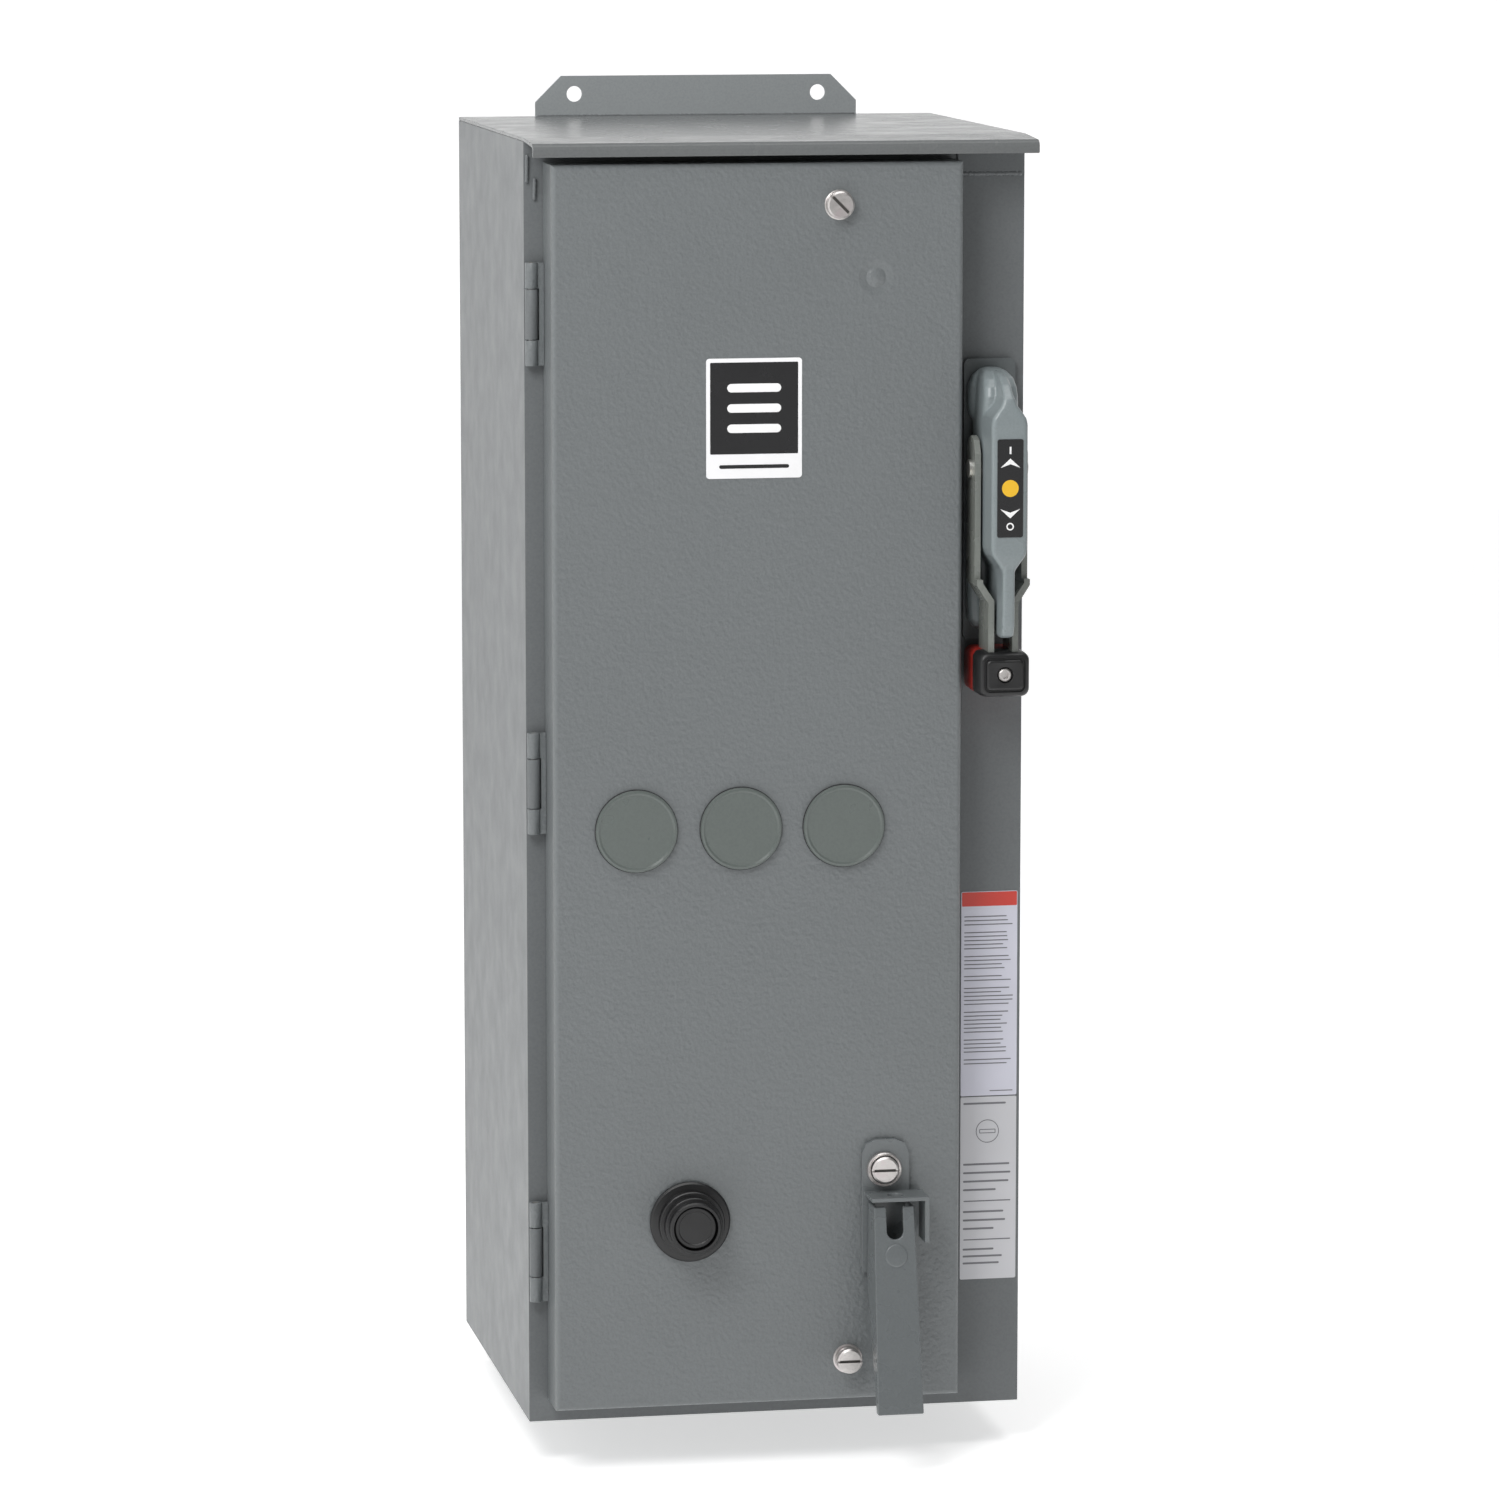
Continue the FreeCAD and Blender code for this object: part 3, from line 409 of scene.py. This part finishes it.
def casting():
    bm = bmesh.new()
    # rear body: narrow between the arms' pivots, wide pads below and above
    def tower(rows, yb, rad):
        rings = []
        for z, hw, fy in rows:
            cy = (yb + fy) / 2
            rings.append([(HX0 + a, cy + b, z) for a, b in rrect(hw, (yb - fy) / 2, min(rad, hw * 0.8, (yb - fy) * 0.45), 6)])
        loft(bm, rings)

    tower([(75.5, 3.5, -233.5), (77, 6.2, -236), (80, 8.2, -237.6), (90, 8.5, -238), (112, 8.6, -238), (120, 9.0, -243),
           (150, 9.1, -248), (178, 9.1, -252), (187, 9.0, -257), (194, 8.7, -258), (199, 8.4, -256), (203, 7.6, -252),
           (206, 5.6, -245), (207, 3.0, -238)], -228.5, 4.0)
    tower([(75.2, 5.0, -232.0), (77.5, 9.0, -235.0), (81, 11.4, -236.2), (90, 12.0, -236.3), (124, 12.0, -236.3), (130, 11.2, -236.0),
           (136, 8.8, -235.0)], -228.5, 3.0)
    tower([(180, 8.8, -235.0), (184, 11.2, -236.0), (189, 12.0, -236.3), (198, 11.8, -236.3), (203, 9.6, -235.6), (206.5, 5.0, -232.5)], -228.5, 3.0)
    # block that carries the label, with faceted shoulders
    tower([(107, 3.0, -274.5), (110, 3.6, -275.5), (113, 5.6, -276.1), (117, 8.4, -276.5), (120, 9.2, -276.5), (150, 9.2, -276.5), (182, 9.2, -276.5),
           (185, 8.6, -276.3), (188, 6.6, -275.9), (191.5, 4.0, -275.3), (195, 3.0, -274.5)], -230, 2.2)
    # spine above and below
    tower([(75.5, 2.6, -268.5), (77, 3.2, -273), (82, 3.2, -275.1), (95, 3.1, -275.7), (112, 3.1, -275.8), (150, 3.0, -275.8), (190, 3.0, -275.5),
           (196, 2.7, -273), (201, 2.4, -267), (204.5, 2.1, -260), (206, 1.6, -253)], -230, 1.6)
    o = finish_obj("handle_casting", bm, "handle_casting", "case")
    r = o.modifiers.new("r", "REMESH")
    r.mode = "VOXEL"
    r.voxel_size = 0.00055
    r.use_smooth_shade = True
    s = o.modifiers.new("s", "SMOOTH")
    s.factor = 0.5
    s.iterations = 5
    # room inside for the crank and the slide's tongue, and the bore for the pivot shaft
    cutters = []
    for rad, xa, xb, seg in ((17.2, 102.0, 113.0, 48), (4.95, 90.0, 126.0, 32)):
        cb = bmesh.new()
        circ = [(math.cos(2 * math.pi * k / seg), math.sin(2 * math.pi * k / seg)) for k in range(seg)]
        loft(cb, [[(xq, -247.5 + rad * a, 158.0 + rad * b) for a, b in circ] for xq in (xa, xb)])
        cutters.append(cb)
    cb = bmesh.new()
    add_box(cb, 102.0, -234.0, 123.0, 113.0, -222.0, 172.0)
    cutters.append(cb)
    objs = []
    for k, cb in enumerate(cutters):
        bmesh.ops.recalc_face_normals(cb, faces=cb.faces[:])
        cm = bpy.data.meshes.new("cutter_%d" % k)
        cb.to_mesh(cm)
        cb.free()
        co_ = bpy.data.objects.new("cutter_%d" % k, cm)
        co_.matrix_world = o.matrix_world.copy()
        sc.collection.objects.link(co_)
        objs.append(co_)
        bo = o.modifiers.new("cut_%d" % k, "BOOLEAN")
        bo.operation = "DIFFERENCE"
        bo.solver = "EXACT"
        bo.object = co_
    bake_mods(o)
    for co_ in objs:
        bpy.data.objects.remove(co_, do_unlink=True)
    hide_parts("handle_housing")
    return o


casting()

# handle label: raised plate with up and down arrows, I and O
bm = bmesh.new()
slab(bm, HX0, 150.75, 6.5, 24.25, 1.0, -276.1, -276.8)
finish_obj("handle_plate", bm, "ink_black", "case", replaces=("handle_label",))
bm = bmesh.new()
YA, YB = -276.75, -276.88
ZC = 150.75
for s in (1, -1):
    zt = ZC + s * 13.6
    prism(bm, [(HX0 - 5.0, zt - s * 3.4), (HX0, zt - s * 1.6), (HX0 + 5.0, zt - s * 3.4), (HX0, zt + s * 1.2)], YA, YB)
add_box(bm, HX0 - 0.45, YB, ZC + 17.0, HX0 + 0.45, YA, ZC + 20.6)
ring = [(math.cos(math.radians(a)), math.sin(math.radians(a))) for a in range(0, 360, 15)]
vs = loft(bm, [[(HX0 + 1.9 * a, YA, ZC - 18.9 + 1.9 * b) for a, b in ring], [(HX0 + 1.9 * a, YB, ZC - 18.9 + 1.9 * b) for a, b in ring],
               [(HX0 + 1.25 * a, YB, ZC - 18.9 + 1.25 * b) for a, b in ring], [(HX0 + 1.25 * a, YA, ZC - 18.9 + 1.25 * b) for a, b in ring]], cap=False)
for i in range(len(ring)):
    j = (i + 1) % len(ring)
    bm.faces.new((vs[3][i], vs[3][j], vs[0][j], vs[0][i]))
finish_obj("handle_plate_marks", bm, "ink_white", "case")
bm = bmesh.new()
slab(bm, HX0, ZC, 4.2, 4.2, 4.2, YA, YB, 8)
slab(bm, HX0, ZC, 2.0, 2.0, 2.0, YB + 0.01, YB - 0.05, 8)
finish_obj("handle_plate_dot", bm, "ink_amber", "case")

# ------------------------------------------------------------------ grip
GX, GZ, GW, GH = 107.9, 56.75, 13.0, 11.25


def grip_ring(inset, r, y, circle=None):
    if circle is not None:
        p = rrect(circle, circle, circle, 6)
    else:
        p = rrect(GW - inset, GH - inset, r, 6)
    return [(GX + a, y, GZ + b) for a, b in p]


bm = bmesh.new()
loft(bm, [grip_ring(1.2, 3.0, -250.1), grip_ring(0.3, 3.6, -250.4), grip_ring(0.0, 3.9, -251.1), grip_ring(0.0, 4.0, -259), grip_ring(0.25, 4.0, -264.5),
          grip_ring(0.8, 3.8, -266.1), grip_ring(1.7, 3.4, -267.0), grip_ring(2.6, 3.0, -267.0), grip_ring(3.0, 2.6, -266.3), grip_ring(3.5, 2.2, -266.3),
          grip_ring(3.9, 1.8, -267.4), grip_ring(4.5, 1.6, -268.0), grip_ring(5.0, 1.4, -268.0), grip_ring(0, 0, -267.8, 4.3), grip_ring(0, 0, -267.3, 3.95),
          grip_ring(0, 0, -265.1, 3.7)])
finish_obj("grip_front", bm, "black_grip", "disconnect", 50, replaces=("grip_black",))
bm = bmesh.new()
loft(bm, [grip_ring(1.0, 3.0, -249.9), grip_ring(0.45, 3.6, -249.4), grip_ring(0.3, 3.8, -248.6), grip_ring(0.0, 4.0, -241), grip_ring(0.2, 4.0, -230.6),
          grip_ring(0.8, 3.8, -228.8), grip_ring(1.8, 3.4, -227.8), grip_ring(2.8, 3.0, -227.8), grip_ring(3.2, 2.6, -228.4), grip_ring(3.7, 2.2, -228.4),
          grip_ring(4.1, 1.8, -227.4), grip_ring(4.8, 1.6, -227.0)])
finish_obj("grip_rear", bm, "red", "disconnect", 50, replaces=("grip_red",))
bm = bmesh.new()
hexp = [(math.cos(math.radians(a)), math.sin(math.radians(a))) for a in range(0, 360, 15)]


def six(r, rr):
    out = []
    for k, (a, b) in enumerate(hexp):
        t = math.radians(k * 15)
        q = 1.0 + rr * math.cos(6 * t)
        out.append((r * a * q, r * b * q))
    return out


loft(bm, [[(GX + a, -265.3, GZ + b) for a, b in six(3.3, 0)], [(GX + a, -267.0, GZ + b) for a, b in six(3.3, 0)],
          [(GX + a, -267.5, GZ + b) for a, b in six(2.7, 0)], [(GX + a, -267.5, GZ + b) for a, b in six(1.7, 0.08)],
          [(GX + a, -266.4, GZ + b) for a, b in six(1.6, 0.10)]])
finish_obj("grip_screw_head", bm, "bright", "disconnect", 35, replaces=("grip_screw",))

# ------------------------------------------------------------------ embossed disc on the latch lever
bm = bmesh.new()
disc = [(math.cos(math.radians(a)), math.sin(math.radians(a))) for a in range(0, 360, 12)]


def on_lever(x, z, off):
    return (x, -272.0 - (-209.0 - z) * 19.0 / 102.0 - off, z)


loft(bm, [[on_lever(51.8 + q * a, -233.0 + q * b, o_) for a, b in disc] for q, o_ in ((5.7, -0.3), (5.7, 0.15), (5.3, 0.5), (4.7, 0.6))])
finish_obj("lever_boss", bm, "latch_paint", "latch", 50)

# ------------------------------------------------------------------ painted shade: dark blades at the floors of the screw slots stand in for the shadow inside them
for nm, body, x, z, y0, half, wid, ang in (("slot_shade_upper", "screw_upper", 26.4, 289.8, -256.4, 5.5, 1.4, -45), ("slot_shade_lower", "screw_lower", 31.7, -290.0, -259.2, 5.0, 1.3, 0),
                                           ("slot_shade_interlock", "interlock", 49.5, -192.8, -259.4, 5.3, 1.3, 0)):
    bm = bmesh.new()
    ca, sa = math.cos(math.radians(ang)), math.sin(math.radians(ang))
    pts = [(x + i * ca - j * sa, z + i * sa + j * ca) for i, j in ((-half, -wid / 2), (-half + 0.4, -wid / 2 - 0.02), (half - 0.4, -wid / 2 - 0.02), (half, -wid / 2),
                                                                   (half, wid / 2), (half - 0.4, wid / 2 + 0.02), (-half + 0.4, wid / 2 + 0.02), (-half, wid / 2))]
    prism(bm, pts, y0 + 0.2, y0 - 0.7)
    finish_obj(nm, bm, "slot_painted_shade", body)

# ------------------------------------------------------------------ door plate: generic bars
bm = bmesh.new()
CX, CZ = -16.15, 185.4
slab(bm, CX, CZ, 23.95, 29.6, 1.6, -252.9, -253.35)
finish_obj("door_badge", bm, "white_film", "door", replaces=("door_plate",))
bm = bmesh.new()
slab(bm, CX, CZ + 5.0, 22.0, 22.6, 0.6, -253.3, -253.42)
finish_obj("door_badge_field", bm, "ink_black", "door")
bm = bmesh.new()
for k, hw in enumerate((13.5, 13.5, 13.5)):
    slab(bm, CX, CZ + 15.0 - 10.0 * k, hw, 2.1, 2.1, -253.4, -253.47)
finish_obj("door_badge_bars", bm, "ink_white", "door")
bm = bmesh.new()
slab(bm, CX, CZ - 23.8, 17.5, 0.9, 0.9, -253.33, -253.42)
finish_obj("door_badge_rule", bm, "ink_black", "door")

# ------------------------------------------------------------------ strip labels: blank films with greeked lines
LY = -225.3
bm = bmesh.new()
slab(bm, 110.0, (-58.7 - 163.6) / 2, 14.5, (163.6 - 58.7) / 2, 0.8, -224.95, LY)
finish_obj("strip_label_upper", bm, "label_lilac", "case", replaces=("strip_labels",))
bm = bmesh.new()
slab(bm, 110.0, (-164.2 - 258.5) / 2, 14.5, (258.5 - 164.2) / 2, 0.8, -224.95, LY)
finish_obj("strip_label_lower", bm, "label_grey", "case", replaces=("strip_labels",))
bm = bmesh.new()
slab(bm, 110.0, -62.6, 14.2, 3.6, 0.6, LY + 0.04, LY - 0.06)
finish_obj("strip_label_band", bm, "band_red", "case")
bm = bmesh.new()
rng = random.Random(11)
z = -71.5
for block, rows in enumerate((3, 5, 4, 2, 5, 6, 4, 2)):
    for r_ in range(rows):
        x1 = 97.0 + rng.uniform(19.0, 25.5)
        slab(bm, (97.0 + x1) / 2, z, (x1 - 97.0) / 2, 0.28, 0.2, LY + 0.02, LY - 0.05, 1)
        z -= 2.05
    z -= 2.0
slab(bm, 116.5, -161.2, 6.0, 0.25, 0.2, LY + 0.02, LY - 0.05, 1)
for zz, w in ((-167.6, 11.0), (-199.0, 12.0), (-203.4, 12.3), (-207.8, 11.8), (-212.2, 8.5), (-223.5, 10.5), (-227.9, 11.0), (-232.3, 8.0),
              (-243.0, 8.0), (-246.6, 10.2), (-250.2, 9.4)):
    slab(bm, 97.0 + w, zz, w, 0.5, 0.3, LY + 0.02, LY - 0.05, 1)
for zz in (-218.0, -238.0):
    slab(bm, 109.5, zz, 12.2, 0.3, 0.2, LY + 0.02, LY - 0.05, 1)
ring = [(math.cos(math.radians(a)), math.sin(math.radians(a))) for a in range(0, 360, 10)]
vs = loft(bm, [[(109.5 + r0 * a, y, -182.0 + r0 * b) for a, b in ring] for r0, y in ((6.0, LY + 0.02), (6.0, LY - 0.05), (5.6, LY - 0.05), (5.6, LY + 0.02))], cap=False)
for i in range(len(ring)):
    j = (i + 1) % len(ring)
    bm.faces.new((vs[3][i], vs[3][j], vs[0][j], vs[0][i]))
for dz in (-0.9, 0.9):
    slab(bm, 109.5, -182.0 + dz, 4.0, 0.2, 0.1, LY + 0.02, LY - 0.05, 1)
for dx in (-4.0, 4.0):
    slab(bm, 109.5 + dx, -182.0, 0.2, 1.0, 0.1, LY + 0.02, LY - 0.05, 1)
finish_obj("strip_label_lines", bm, "ink_grey", "case")

# ------------------------------------------------------------------ weld beads


def bead(name, pts, rad, body="case", seed=3, mat="case_paint"):
    """Lumpy bead along a straight line in mm."""
    rg = random.Random(seed)
    a, b = Vector(pts[0]), Vector(pts[1])
    L = (b - a).length
    d = (b - a).normalized()
    up = Vector((0, 0, 1)) if abs(d.z) < 0.9 else Vector((1, 0, 0))
    u = d.cross(up).normalized()
    v = d.cross(u)
    steps = max(8, int(L / 0.55))
    rings = []
    for i in range(steps + 1):
        t = i / steps
        ph = t * L / 2.3
        rr = rad * (0.80 + 0.22 * abs(math.sin(ph * math.pi)) + rg.uniform(-0.07, 0.07))
        if i in (0, steps):
            rr *= 0.4
        c = a + (b - a) * t + v * rg.uniform(-0.12, 0.12)
        rings.append([tuple(c + u * (rr * math.cos(math.radians(k))) + v * (rr * math.sin(math.radians(k)))) for k in range(0, 360, 36)])
    bm = bmesh.new()
    loft(bm, rings)
    return finish_obj(name, bm, mat, body, 60)


bead("weld_strip", [(92.0, -226.0, 302.9), (124.6, -226.0, 302.9)], 1.35, seed=5)
bead("weld_strip_end", [(90.6, -225.9, 301.6), (92.6, -225.9, 303.4)], 1.5, seed=12)
bead("weld_strip_side", [(124.6, -225.7, 304.0), (124.9, -225.7, 319.5)], 0.8, seed=8)
bead("weld_left_a", [(-124.6, -226.2, 300.5), (-124.4, -226.2, 314.5)], 0.9, seed=4)
bead("weld_left_b", [(-120.8, -226.0, 292.0), (-120.6, -226.0, 303.0)], 1.0, seed=6)
bead("weld_flange_top_l", [(-84.5, -2.2, 322.7), (84.5, -2.2, 322.7)], 0.6, seed=9)
bead("weld_flange_low", [(-84.5, -2.2, -322.7), (84.5, -2.2, -322.7)], 0.6, seed=10)

# ------------------------------------------------------------------ floor
bm = bmesh.new()
F = -0.3445
vs = [bm.verts.new(p) for p in ((-9, -9, F), (9, -9, F), (9, 6, F), (-9, 6, F))]
bm.faces.new(vs)
me = bpy.data.meshes.new("floor")
bm.to_mesh(me)
bm.free()
floor = bpy.data.objects.new("floor", me)
sc.collection.objects.link(floor)
fm, nt, b = new_mat("floor_pale")
b.inputs["Base Color"].default_value = (0.86, 0.86, 0.86, 1)
b.inputs["Roughness"].default_value = 0.9
b.inputs["Emission Color"].default_value = (1, 1, 1, 1)
b.inputs["Emission Strength"].default_value = 0.54
me.materials.append(fm)
bk, nt, b = new_mat("backdrop_pale")
b.inputs["Base Color"].default_value = (0.86, 0.86, 0.86, 1)
b.inputs["Roughness"].default_value = 0.9
b.inputs["Emission Color"].default_value = (1, 1, 1, 1)
b.inputs["Emission Strength"].default_value = 0.50
bm = bmesh.new()
vs = [bm.verts.new(p) for p in ((-9, 6, F), (9, 6, F), (9, 6, 7), (-9, 6, 7))]
bm.faces.new(vs)
me = bpy.data.meshes.new("backdrop")
bm.to_mesh(me)
bm.free()
back = bpy.data.objects.new("backdrop", me)
sc.collection.objects.link(back)
me.materials.append(bk)
